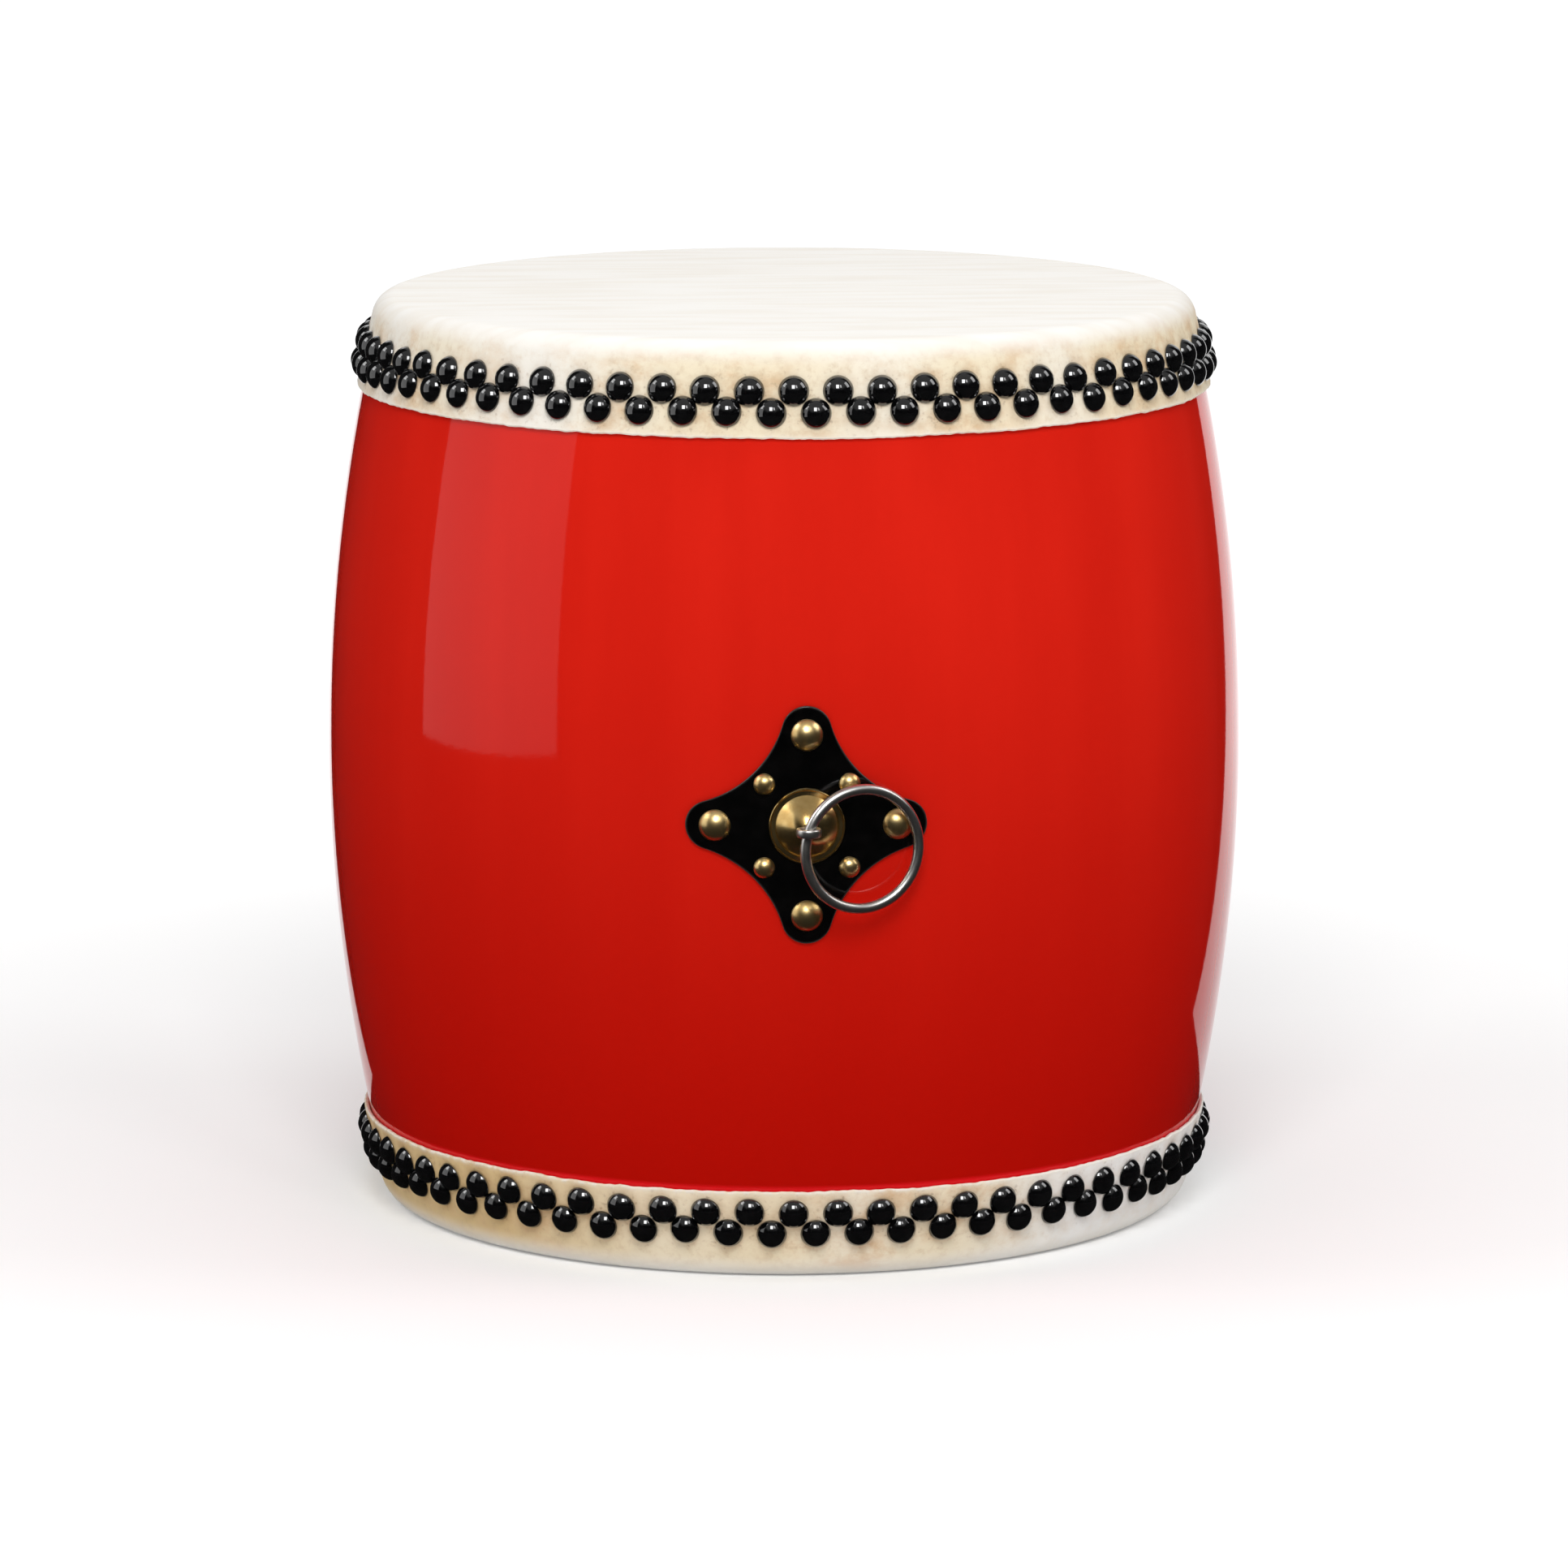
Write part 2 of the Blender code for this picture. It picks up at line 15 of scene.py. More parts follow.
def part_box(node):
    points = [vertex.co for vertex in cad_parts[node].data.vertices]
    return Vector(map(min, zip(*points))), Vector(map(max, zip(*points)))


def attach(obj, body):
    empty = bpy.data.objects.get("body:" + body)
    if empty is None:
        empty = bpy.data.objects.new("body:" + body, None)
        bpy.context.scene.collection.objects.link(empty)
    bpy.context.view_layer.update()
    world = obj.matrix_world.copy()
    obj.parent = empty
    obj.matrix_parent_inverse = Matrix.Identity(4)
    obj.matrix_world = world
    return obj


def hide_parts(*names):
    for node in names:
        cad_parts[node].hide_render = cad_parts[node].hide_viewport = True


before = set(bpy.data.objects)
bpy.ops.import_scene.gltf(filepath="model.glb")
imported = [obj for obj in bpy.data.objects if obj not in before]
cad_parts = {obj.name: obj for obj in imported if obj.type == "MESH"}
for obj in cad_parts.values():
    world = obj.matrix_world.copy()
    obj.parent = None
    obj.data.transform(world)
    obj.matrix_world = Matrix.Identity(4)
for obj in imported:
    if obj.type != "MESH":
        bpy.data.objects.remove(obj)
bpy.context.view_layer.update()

# Camera of the photograph
FOCAL_LENGTH_MM = 177.61
SENSOR_MM = 36.0
CAMERA_PLACE = (-0.1600, -3.3682, 0.8022)
CAMERA_PITCH = 0.18231
CAMERA_YAW = math.radians(-2.72)
CAMERA_FARTHEST = 200.0

# Body: its outside is a parabola, widest at half height
DRUM_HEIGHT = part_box("head_top")[1][2]
BELLY_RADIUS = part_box("body_shell")[1][0]
MIDDLE = DRUM_HEIGHT / 2
END_TAPER = 0.0254
SHELL_WALL = 0.016
BEARING_ROUND = 0.0075

# Angle above level at which the arc of the body's rounded rim starts
CROWN_START = 0.2

# Skins
GAP = 0.0003
SKIN_THICKNESS = 0.002
SKIN_BAND = 0.0392
SKIN_BUILD_UP = GAP + SKIN_THICKNESS
SKIN_SWELL = 0.00018
FACE_FADE = 0.011
FRAY_DEPTH = 0.0011
STAIN_DEPTH = 0.008
STAIN_REACH = 0.0085

# Free edge of a skin: how far down and how far in each of its rows lies
SKIN_LIP = ((0.0002, 0.0006), (0.0001, 0.0014), (-0.0004, SKIN_THICKNESS))

# Inside of a skin's side: how far above the free edge its rows lie
SKIN_UNDER_RISES = (0.010, 0.026)

# Tacks: each head strays by a shift, a turn and a lean of no more than these
TACK_COUNT = 62
UPPER_TACK_ROWS = (0.0203, 0.0293)
LOWER_TACK_ROWS = (0.0213, 0.0302)
TACK_RADIUS = 0.0065
TACK_HEIGHT = 0.0046
TACK_SHANK_RADIUS = 0.0012
TACK_SEAT = SKIN_BUILD_UP + GAP
TACK_SHIFT = 0.0009
TACK_TURN = 0.0015
TACK_LEAN = 0.10

# Rim of a tack's or nail's head
HEAD_EDGE = 0.0002

# Four-lobed plate
PLATE_REACH = 0.0504
PLATE_TIP_RADIUS = 0.0104
PLATE_BOW = 0.0072
PLATE_THICKNESS = 0.0012
PLATE_BEVEL = 0.0005
PLATE_SEAT = GAP + PLATE_THICKNESS + GAP

# Nails: distance from the plate's centre, head radius, head height, shank radius and shank length
BIG_NAIL = (0.0383, 0.0068, 0.0042, 0.0013, 0.012)
SMALL_NAIL = (0.02504, 0.0046, 0.0032, 0.0010, 0.010)
QUARTERS = {"right": 0.0, "top": 0.5 * math.pi, "left": math.pi, "bottom": 1.5 * math.pi}

# Boss
BOSS_RADIUS = 0.0162
BOSS_DOME_RADIUS = 0.0133
BOSS_HEIGHT = 0.0090
BOSS_SHEET = 0.0010
BOSS_HOLE_RADIUS = 0.0026
BOSS_GROOVE = 0.0005
BOSS_CONE = 0.6

# Rolled rim of the boss: how far in and how high each of its points lies
BOSS_RIM = ((0.0012, BOSS_GROOVE), (0.0008, BOSS_SHEET), (0.0005, BOSS_SHEET),
            (0.0, BOSS_SHEET * 0.4), (0.0, 0.0))

# Split pin
STRAP_THICKNESS = 0.0019
STRAP_HEIGHT = 0.0036
STRAP_SQUARENESS = 0.7
EYE_RADIUS = 0.0044
LEG_OFFSET = 0.0011
LEG_BEND_RADIUS = 0.0016
LEG_CLENCH = 0.0095
EYE_LIFT = PLATE_SEAT + BOSS_HEIGHT + GAP + EYE_RADIUS + STRAP_THICKNESS / 2
CLENCH_DEPTH = 0.01954

# Ring: its weld is a groove in a low bead, each with its share of the wire's radius and its reach
RING_WIRE_RADIUS = 0.0023
RING_WIRE_SHARE = 0.988
WELD_ANGLE = math.radians(10)
WELD_GROOVE = (0.10, 0.015)
WELD_BEAD = (0.012, 0.07)

# Azimuth of each fitting
SIDES = {"front": 0.0, "back": math.pi}

WHITE = (1.0, 1.0, 1.0, 1.0)

# White background: its light on the drum, and what the floor glows near the drum and far from it
AMBIENT_GLOW = 0.38
FLOOR_HALF = 25.0
FLOOR_GLOW = (0.19, 0.74)
FLOOR_GLOW_REACH = (0.32, 1.5)

# Screens: each edge of their opening has its place beside the axis and how far it spreads with depth
OPENING_RIGHT = (0.295, 0.61)
OPENING_LEFT = (0.235, 0.20)
OPENING_NEAREST = 0.14
OPENING_FARTHEST = 9.0
SCREEN_SIDE = 2.4
SCREEN_FRONT = 4.2
WING_HEIGHTS = (0.5, 4.6)
BARE_FLOOR_RADIUS = 0.176
CLOTH_LIFT = 0.0006

# Canopy: the screens start to glow at the first height and reach the full glow at the second
CANOPY_HEIGHT = 3.2
CANOPY_BACK = 3.0
CANOPY_GLOW = 0.28
GLOW_HEIGHTS = (1.2, 3.0)

# Lamps that face the drum's middle: place, width, height and glow
LAMPS = {
    "key": ((-0.15, -2.05, 1.95), 0.85, 1.1, 10.0),
    "fill": ((0.75, -1.9, 1.95), 0.4, 0.8, 4.0),
    "left_side": ((-1.7, -0.2, 1.7), 0.8, 0.8, 3.2),
    "right_side": ((1.7, -0.3, 1.6), 0.8, 1.1, 2.7),
    "overhead": ((0.0, 0.2, 2.4), 1.6, 1.6, 1.0),
}

# The window that the lacquer mirrors at the upper left
WINDOW_PLACE = (-1.10, -0.265, 0.62)
WINDOW_TARGET = (0.0, -0.20, 0.62)
WINDOW_SIZE = (0.90, 1.06)
WINDOW_GLOW = 0.86

# Fineness: sides round an axis, and steps or shares along a profile or a path
BODY_SIDES = 256
BODY_STEPS = 96
INNER_STEPS = 32
CROWN_STEPS = 8
SKIN_SIDES = 960
SKIN_FACE_SHARES = (0.0, 0.25, 0.5, 0.7, 0.85, 0.94, 0.98)
SKIN_CORNER_STEPS = 12
SKIN_BAND_STEPS = 36
TACK_SIDES = 32
TACK_STEPS = 10
NAIL_SIDES = 48
NAIL_STEPS = 12
PLATE_SHARES = (0.0, 0.2, 0.4, 0.6, 0.8)
PLATE_STEPS = 24
BOSS_SIDES = 96
BOSS_STEPS = 24
BOSS_INNER_STEPS = 12
STRAP_SIDES = 20
EYE_STEPS = 32
NECK_STEPS = 10
BEND_STEPS = 12
RING_STEPS = 160
WIRE_SIDES = 28
BARE_FLOOR_STEPS = 60


# Things in the scene

def linked(name, data):
    """A new object of the scene that holds the data."""
    thing = bpy.data.objects.new(name, data)
    bpy.context.scene.collection.objects.link(thing)
    return thing


# Places on the drum

def wall_radius(height):
    return BELLY_RADIUS - END_TAPER * ((height - MIDDLE) / MIDDLE) ** 2


def wall_tilt(height):
    """How far the wall's outward normal points up."""
    return math.atan(2 * END_TAPER * (height - MIDDLE) / MIDDLE ** 2)


def wall_point(height, lift):
    tilt = wall_tilt(height)
    return wall_radius(height) + lift * math.cos(tilt), height + lift * math.sin(tilt)


def wall_frame(azimuth, height, lift):
    """A place over the wall, with X round the body, Y up it and Z outwards. Azimuth 0 is the front."""
    radius, raised = wall_point(height, lift)
    tilt = wall_tilt(height)
    outwards = Vector((math.sin(azimuth), -math.cos(azimuth), 0.0))
    normal = outwards * math.cos(tilt) + Vector((0.0, 0.0, math.sin(tilt)))
    around = Vector((math.cos(azimuth), math.sin(azimuth), 0.0))
    place = Matrix((around, normal.cross(around), normal)).transposed().to_4x4()
    place.translation = outwards * radius + Vector((0.0, 0.0, raised))
    return place


def arc_points(centre_x, centre_y, radius, start, end, steps):
    points = []
    for step in range(steps + 1):
        angle = start + (end - start) * step / steps
        points.append((centre_x + radius * math.cos(angle), centre_y + radius * math.sin(angle)))
    return points


def uneven(*where):
    """Smooth noise between -1 and 1 that is the same on each run."""
    return noise.noise(Vector(where))


# Meshes

def joined_rings(rings, loop=False):
    """Faces from ring to ring. A ring of one point is a pole."""
    vertices = []
    starts = []
    for ring in rings:
        starts.append(len(vertices))
        vertices.extend(ring)
    faces = []
    for index in range(len(rings) if loop else len(rings) - 1):
        following = (index + 1) % len(rings)
        count = max(len(rings[index]), len(rings[following]))
        for i in range(count):
            corners = []
            for ring, step in ((index, i), (index, i + 1), (following, i + 1), (following, i)):
                corner = starts[ring] + step % len(rings[ring])
                if corner not in corners:
                    corners.append(corner)
            faces.append(tuple(corners))
    return vertices, faces


def turned(profile, sides, place=Matrix(), loop=False):
    """A profile of (radius, height) points turned about the place's Z axis. A radius of 0 is a pole."""
    rings = []
    for radius, height in profile:
        if radius < 1e-9:
            rings.append([place @ Vector((0.0, 0.0, height))])
            continue
        ring = []
        for side in range(sides):
            angle = 2 * math.pi * side / sides
            ring.append(place @ Vector((radius * math.cos(angle), radius * math.sin(angle), height)))
        rings.append(ring)
    return joined_rings(rings, loop)


def merged(parts):
    vertices = []
    faces = []
    for part_vertices, part_faces in parts:
        start = len(vertices)
        vertices.extend(part_vertices)
        faces.extend(tuple(start + corner for corner in face) for face in part_faces)
    return vertices, faces


def add_piece(name, shape, material, body, nodes, sharp_degrees=40, values=None):
    """A piece that rides on a body and stands for CAD nodes. Values hold a number for each vertex."""
    vertices, faces = shape
    mesh = bpy.data.meshes.new(name)
    mesh.from_pydata([tuple(vertex) for vertex in vertices], [], faces)
    for title, numbers in (values or {}).items():
        attribute = mesh.attributes.new(title, "FLOAT", "POINT")
        attribute.data.foreach_set("value", np.array(numbers, np.float32))
    bm = bmesh.new()
    bm.from_mesh(mesh)
    bmesh.ops.recalc_face_normals(bm, faces=bm.faces)
    bm.to_mesh(mesh)
    bm.free()
    mesh.shade_smooth()
    mesh.set_sharp_from_angle(angle=math.radians(sharp_degrees))
    mesh.materials.append(material)
    piece = linked(name, mesh)
    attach(piece, body)
    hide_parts(*nodes)


# Materials

class Nodes:
    """A material's node tree with short calls for the nodes used here."""

    def __init__(self, name):
        self.material = bpy.data.materials.new(name)
        self.material.use_nodes = True
        self.tree = self.material.node_tree
        self.shader = self.tree.nodes["Principled BSDF"]

    @classmethod
    def of_tree(cls, tree):
        """The same short calls for a tree that exists, such as the world's."""
        nodes = cls.__new__(cls)
        nodes.tree = tree
        return nodes

    def add(self, kind, inputs=(), **settings):
        node = self.tree.nodes.new(kind)
        for title, value in settings.items():
            setattr(node, title, value)
        for title, value in dict(inputs).items():
            self.feed(node, title, value)
        return node

    def feed(self, node, title, value):
        if isinstance(value, bpy.types.NodeSocket):
            self.tree.links.new(value, node.inputs[title])
        else:
            node.inputs[title].default_value = value

    def shade(self, **inputs):
        for title, value in inputs.items():
            self.feed(self.shader, title.replace("_", " "), value)

    def place(self, scale):
        """Object coordinates, in metres, scaled along each axis."""
        coordinates = self.add("ShaderNodeTexCoord")
        mapping = self.add("ShaderNodeMapping", {"Vector": coordinates.outputs["Object"], "Scale": scale})
        return mapping.outputs["Vector"]

    def noise(self, scale, detail=3.0, roughness=0.5):
        """Noise between 0 and 1 with so many spots to the metre along each axis."""
        inputs = {"Vector": self.place(scale), "Scale": 1.0, "Detail": detail, "Roughness": roughness}
        return self.add("ShaderNodeTexNoise", inputs).outputs["Fac"]

    def ramp(self, value, low, high, start=0.0, end=1.0):
        """Start below low, end above high, and a smooth step between."""
        inputs = {"Value": value, "From Min": low, "From Max": high, "To Min": start, "To Max": end}
        return self.add("ShaderNodeMapRange", inputs, interpolation_type="SMOOTHSTEP").outputs["Result"]

    def math(self, operation, first, second):
        node = self.add("ShaderNodeMath", operation=operation)
        for index, value in enumerate((first, second)):
            self.feed(node, index, value)
        return node.outputs["Value"]

    def product(self, first, second):
        return self.math("MULTIPLY", first, second)

    def mix(self, factor, first, second):
        node = self.add("ShaderNodeMix", data_type="RGBA")
        for title, value in (("Factor", factor), ("A", first), ("B", second)):
            sockets = [s for s in node.inputs if s.name == title and s.enabled]
            if isinstance(value, bpy.types.NodeSocket):
                self.tree.links.new(value, sockets[0])
            else:
                sockets[0].default_value = value
        return [s for s in node.outputs if s.enabled][0]

    def value(self, name):
        """A number that the mesh carries at each vertex."""
        return self.add("ShaderNodeAttribute", attribute_name=name).outputs["Fac"]

    def height(self):
        coordinates = self.add("ShaderNodeTexCoord")
        return self.add("ShaderNodeSeparateXYZ", {"Vector": coordinates.outputs["Object"]}).outputs["Z"]

    def bump(self, height, distance, strength, under=None):
        inputs = {"Height": height, "Distance": distance, "Strength": strength}
        if under:
            inputs["Normal"] = under
        return self.add("ShaderNodeBump", inputs).outputs["Normal"]


def rgb(red, green, blue):
    """A colour given as it looks on a screen, 0 to 255, in Blender's linear units."""
    linear = []
    for part in (red, green, blue):
        share = part / 255
        linear.append(share / 12.92 if share <= 0.04045 else ((share + 0.055) / 1.055) ** 2.4)
    return (*linear, 1.0)


def lacquer_material():
    n = Nodes("red_lacquer")
    streaks = n.noise((26, 26, 1.2), detail=4.0)
    clouds = n.noise((9, 9, 7), detail=2.0)
    tone = n.mix(n.ramp(streaks, 0.30, 0.70), rgb(215, 32, 19), rgb(223, 36, 22))
    tone = n.mix(n.ramp(clouds, 0.35, 0.65, 0.0, 0.35), tone, rgb(209, 28, 16))
    # The red darkens towards the bottom.
    tone = n.mix(n.ramp(n.height(), 0.02, 0.34, 0.95, 0.0), tone, rgb(180, 12, 4))
    # Painted light: a thin brighter red line just above the lower skin's edge.
    painted_light_by_lower_skin = n.ramp(n.height(), SKIN_BAND + 0.0008, SKIN_BAND + 0.003, 0.9, 0.0)
    tone = n.mix(painted_light_by_lower_skin, tone, rgb(236, 26, 34))
    wobble = n.bump(n.noise((16, 16, 2.2), detail=1.0), 0.0012, 0.25)
    peel = n.bump(n.noise((420, 420, 420), detail=1.0), 0.00002, 0.3, wobble)
    n.shade(Base_Color=tone, Roughness=n.ramp(clouds, 0.3, 0.7, 0.035, 0.055), Normal=peel)
    n.shade(Specular_IOR_Level=0.24)
    return n.material


def hide_material():
    n = Nodes("hide")
    streaks = n.noise((14, 120, 60), detail=5.0)
    patches = n.noise((11, 11, 16), detail=3.0)
    blotches = n.noise((42, 42, 60), detail=6.0, roughness=0.65)
    grain = n.noise((260, 260, 260), detail=4.0, roughness=0.6)
    specks = n.noise((520, 520, 520), detail=2.0)
    face_tone = n.mix(n.ramp(streaks, 0.38, 0.68), rgb(250, 247, 242), rgb(245, 240, 232))
    band_tone = n.mix(n.ramp(n.value("warm"), 0.0, 0.5), rgb(250, 248, 244), rgb(246, 232, 203))
    band_tone = n.mix(n.ramp(n.value("warm"), 0.5, 1.0), band_tone, rgb(227, 200, 148))
    cloud = n.product(n.ramp(blotches, 0.42, 0.70, 0.0, 0.85), n.ramp(patches, 0.38, 0.60, 0.25, 1.0))
    aged = n.ramp(n.value("warm"), 0.0, 0.4, 0.25, 1.0)
    band_tone = n.mix(n.product(cloud, aged), band_tone, rgb(223, 186, 142))
    grained = n.product(n.ramp(grain, 0.45, 0.75, 0.0, 0.35), aged)
    band_tone = n.mix(grained, band_tone, rgb(206, 176, 136))
    tone = n.mix(n.value("face"), band_tone, face_tone)
    stained = n.product(n.value("stain"), n.ramp(blotches, 0.30, 0.62, 0.15, 1.0))
    stained = n.product(stained, n.ramp(n.value("warm"), 0.2, 0.9, 0.5, 1.0))
    tone = n.mix(stained, tone, rgb(172, 130, 78))
    speckled = n.product(n.value("stain"), n.ramp(specks, 0.60, 0.72, 0.0, 0.8))
    tone = n.mix(speckled, tone, rgb(120, 84, 50))
    frayed = n.product(n.value("fray"), n.ramp(grain, 0.35, 0.6, 0.3, 0.9))
    tone = n.mix(frayed, tone, rgb(246, 241, 230))
    relief = n.bump(streaks, 0.0003, 0.35, n.bump(grain, 0.00014, 0.5))
    n.shade(Base_Color=tone, Roughness=n.ramp(blotches, 0.3, 0.7, 0.58, 0.72), Normal=relief)
    n.shade(Specular_IOR_Level=0.12)
    return n.material


def enamel_material():
    n = Nodes("tack_black")
    dust = n.noise((300, 300, 300), detail=3.0)
    n.shade(Base_Color=n.mix(n.ramp(dust, 0.4, 0.75), rgb(6, 6, 7), rgb(12, 12, 13)))
    n.shade(Specular_IOR_Level=0.9, Coat_Weight=0.8, Coat_Roughness=0.02)
    n.shade(Roughness=n.ramp(dust, 0.35, 0.7, 0.02, 0.035), Normal=n.bump(dust, 0.00005, 0.06))
    return n.material


def plate_material():
    n = Nodes("plate_black")
    dust = n.noise((140, 140, 140), detail=4.0)
    tone = n.mix(n.ramp(dust, 0.35, 0.75), rgb(3, 3, 3), rgb(8, 7, 7))
    # Painted highlight: the bevelled edge turns lighter grey as far as the mesh's edge value says.
    n.shade(Base_Color=n.mix(n.value("edge"), tone, rgb(64, 60, 57)))
    n.shade(Specular_IOR_Level=0.3)
    n.shade(Roughness=n.ramp(dust, 0.35, 0.7, 0.07, 0.11), Normal=n.bump(dust, 0.00008, 0.3))
    return n.material


def brass_material(name, pale, deep, roughness, anisotropy, relief):
    """Brass with tarnish. Where it has anisotropy, it was spun about an axis along Y."""
    n = Nodes(name)
    tarnish = n.noise((160, 160, 160), detail=4.0)
    tone = n.mix(n.ramp(tarnish, 0.35, 0.75), pale, deep)
    if anisotropy:
        n.shade(Tangent=n.add("ShaderNodeTangent", direction_type="RADIAL", axis="Y").outputs["Tangent"])
        n.shade(Anisotropic=anisotropy)
    n.shade(Base_Color=tone, Roughness=n.ramp(tarnish, 0.3, 0.7, roughness, roughness + 0.5 * relief))
    n.shade(Metallic=1.0, Normal=n.bump(tarnish, 0.00004, relief))
    return n.material


def steel_material():
    n = Nodes("steel")
    wear = n.noise((220, 220, 220), detail=4.0)
    n.shade(Base_Color=n.mix(n.ramp(wear, 0.35, 0.7), rgb(230, 228, 225), rgb(212, 209, 204)))
    n.shade(Roughness=n.ramp(wear, 0.3, 0.7, 0.28, 0.36), Normal=n.bump(wear, 0.00004, 0.06))
    n.shade(Metallic=1.0)
    return n.material


# Body

def body_shape():
    top = DRUM_HEIGHT - SKIN_BUILD_UP
    meets = top - BEARING_ROUND
    outer = []
    for step in range(BODY_STEPS + 1):
        outer.append(wall_point(2 * MIDDLE - meets + (2 * meets - 2 * MIDDLE) * step / BODY_STEPS, 0.0))
    crown_radius = wall_radius(meets) - BEARING_ROUND
    crown = arc_points(crown_radius, meets, BEARING_ROUND, CROWN_START, math.pi / 2, CROWN_STEPS)
    foot = [(radius, DRUM_HEIGHT - height) for radius, height in reversed(crown)]
    inner = []
    for step in range(INNER_STEPS + 1):
        height = top - (2 * top - DRUM_HEIGHT) * step / INNER_STEPS
        inner.append((wall_radius(height) - SHELL_WALL, height))
    return turned(outer + crown + inner + foot, BODY_SIDES, loop=True)


def add_body(material):
    add_piece("lacquered_body", body_shape(), material, "drum", ["body_shell"])


# Skins

def tack_azimuths(row):
    quarter_pitch = math.pi / TACK_COUNT / 2
    start = quarter_pitch if row else -quarter_pitch
    return [start + 2 * math.pi * index / TACK_COUNT for index in range(TACK_COUNT)]


def skin_profile():
    """Radius and height of the skin's outside, from its centre down to its free edge."""
    corner_height = DRUM_HEIGHT - SKIN_BUILD_UP - BEARING_ROUND
    meets = corner_height
    # The height at which the corner meets the side settles in a few rounds
    for _ in range(8):
        meets = corner_height + BEARING_ROUND * math.sin(wall_tilt(meets))
    reach = BEARING_ROUND + SKIN_BUILD_UP
    corner_radius = wall_radius(meets) - BEARING_ROUND * math.cos(wall_tilt(meets))
    rows = [(corner_radius * share, DRUM_HEIGHT) for share in SKIN_FACE_SHARES]
    end = wall_tilt(meets)
    rows += arc_points(corner_radius, corner_height, reach, math.pi / 2, end, SKIN_CORNER_STEPS)
    start = rows[-1][1]
    edge = DRUM_HEIGHT - SKIN_BAND
    for step in range(1, SKIN_BAND_STEPS + 1):
        rows.append(wall_point(start + (edge - start) * step / SKIN_BAND_STEPS, SKIN_BUILD_UP))
    return rows


def edge_wander(azimuth, seed):
    """How far up the free edge strays at an azimuth. It is less than 0 where the edge strays down."""
    x, y = math.cos(azimuth), math.sin(azimuth)
    waves = ((0.0006, 4), (0.0004, 17), (0.0004, 60))
    return sum(height * uneven(pace * x, pace * y, seed) for height, pace in waves)


def nearest_tack(azimuth, depth, tack_rows):
    """Distance from a point of the side to the nearest tack's centre."""
    least = 1.0
    pitch = 2 * math.pi / TACK_COUNT
    for row, row_depth in enumerate(tack_rows):
        start = tack_azimuths(row)[0]
        off = (azimuth - start + pitch / 2) % pitch - pitch / 2
        across = off * wall_radius(DRUM_HEIGHT - row_depth)
        least = min(least, math.hypot(across, depth - row_depth))
    return least


def skin_numbers(azimuth, depth, seed, tack_rows, warmth):
    """What the hide's material reads at a point: share of the face, stain, fray and warmth."""
    near = nearest_tack(azimuth, depth, tack_rows) if depth > STAIN_DEPTH else 1.0
    face = 1.0 - min(1.0, depth / FACE_FADE)
    middle, swing, fade = warmth
    aside = math.sin(azimuth)
    patchy = 0.5 * uneven(3 * math.cos(azimuth), 3 * aside, seed)
    warm = middle - swing * aside - fade * aside ** 6 + patchy
    return {"face": face * face * (3 - 2 * face), "stain": 0.5 * math.exp(-((near / STAIN_REACH) ** 4)),
            "fray": math.exp(-(((SKIN_BAND - depth) / FRAY_DEPTH) ** 2)), "warm": min(1.0, max(0.0, warm))}


def skin_shape(seed, tack_rows, warmth):
    """One skin in place on top, and the numbers that its material reads."""
    rows = skin_profile()
    band_start = len(SKIN_FACE_SHARES) + SKIN_CORNER_STEPS
    edge_height = DRUM_HEIGHT - SKIN_BAND
    rings = []
    values = {"face": [], "stain": [], "fray": [], "warm": []}

    def add_point(ring, azimuth, radius, height, depth):
        ring.append(Vector((radius * math.sin(azimuth), -radius * math.cos(azimuth), height)))
        for title, number in skin_numbers(azimuth, depth, seed, tack_rows, warmth).items():
            values[title].append(number)

    for index, (radius, height) in enumerate(rows):
        ring = []
        share = max(0.0, (DRUM_HEIGHT - height) / SKIN_BAND)
        for side in range(SKIN_SIDES if radius > 0 else 1):
            azimuth = 2 * math.pi * side / SKIN_SIDES
            stray, swell = 0.0, 0.0
            if index >= band_start:
                stray = edge_wander(azimuth, seed) * share ** 3
                swell = SKIN_SWELL * uneven(60 * azimuth, 900 * height, seed) * share
            add_point(ring, azimuth, radius + swell, height + stray, DRUM_HEIGHT - height)
        rings.append(ring)
    for drop, inset in SKIN_LIP:
        ring = []
        radius = wall_point(edge_height, SKIN_BUILD_UP)[0] - inset
        for side in range(SKIN_SIDES):
            azimuth = 2 * math.pi * side / SKIN_SIDES
            add_point(ring, azimuth, radius, edge_height + edge_wander(azimuth, seed) - drop, SKIN_BAND)
        rings.append(ring)
    under = [wall_point(edge_height + rise, GAP) for rise in SKIN_UNDER_RISES]
    under += [(wall_radius(DRUM_HEIGHT) - BEARING_ROUND, DRUM_HEIGHT - SKIN_THICKNESS),
              (0.0, DRUM_HEIGHT - SKIN_THICKNESS)]
    for radius, height in under:
        ring = []
        for side in range(SKIN_SIDES if radius > 0 else 1):
            add_point(ring, 2 * math.pi * side / SKIN_SIDES, radius, height, DRUM_HEIGHT - height)
        rings.append(ring)
    return joined_rings(rings), values


def turned_over(vertices):
    """The same points for the other end, turned about the X axis at half height."""
    return [Vector((vertex[0], -vertex[1], DRUM_HEIGHT - vertex[2])) for vertex in vertices]


def add_skins(material):
    """Both skins. Warmth is its value at the front, its gain to the left and its loss at both ends."""
    kinds = (("upper_skin", "head_top", 0.3, UPPER_TACK_ROWS, (0.40, -0.15, 0.3)),
             ("lower_skin", "head_bottom", 7.7, LOWER_TACK_ROWS, (0.45, 0.7, 0.0)))
    for name, node, seed, tack_rows, warmth in kinds:
        (vertices, faces), values = skin_shape(seed, tack_rows, warmth)
        if node == "head_bottom":
            vertices = turned_over(vertices)
        add_piece(name, (vertices, faces), material, "drum", [node], values=values)


# Tacks

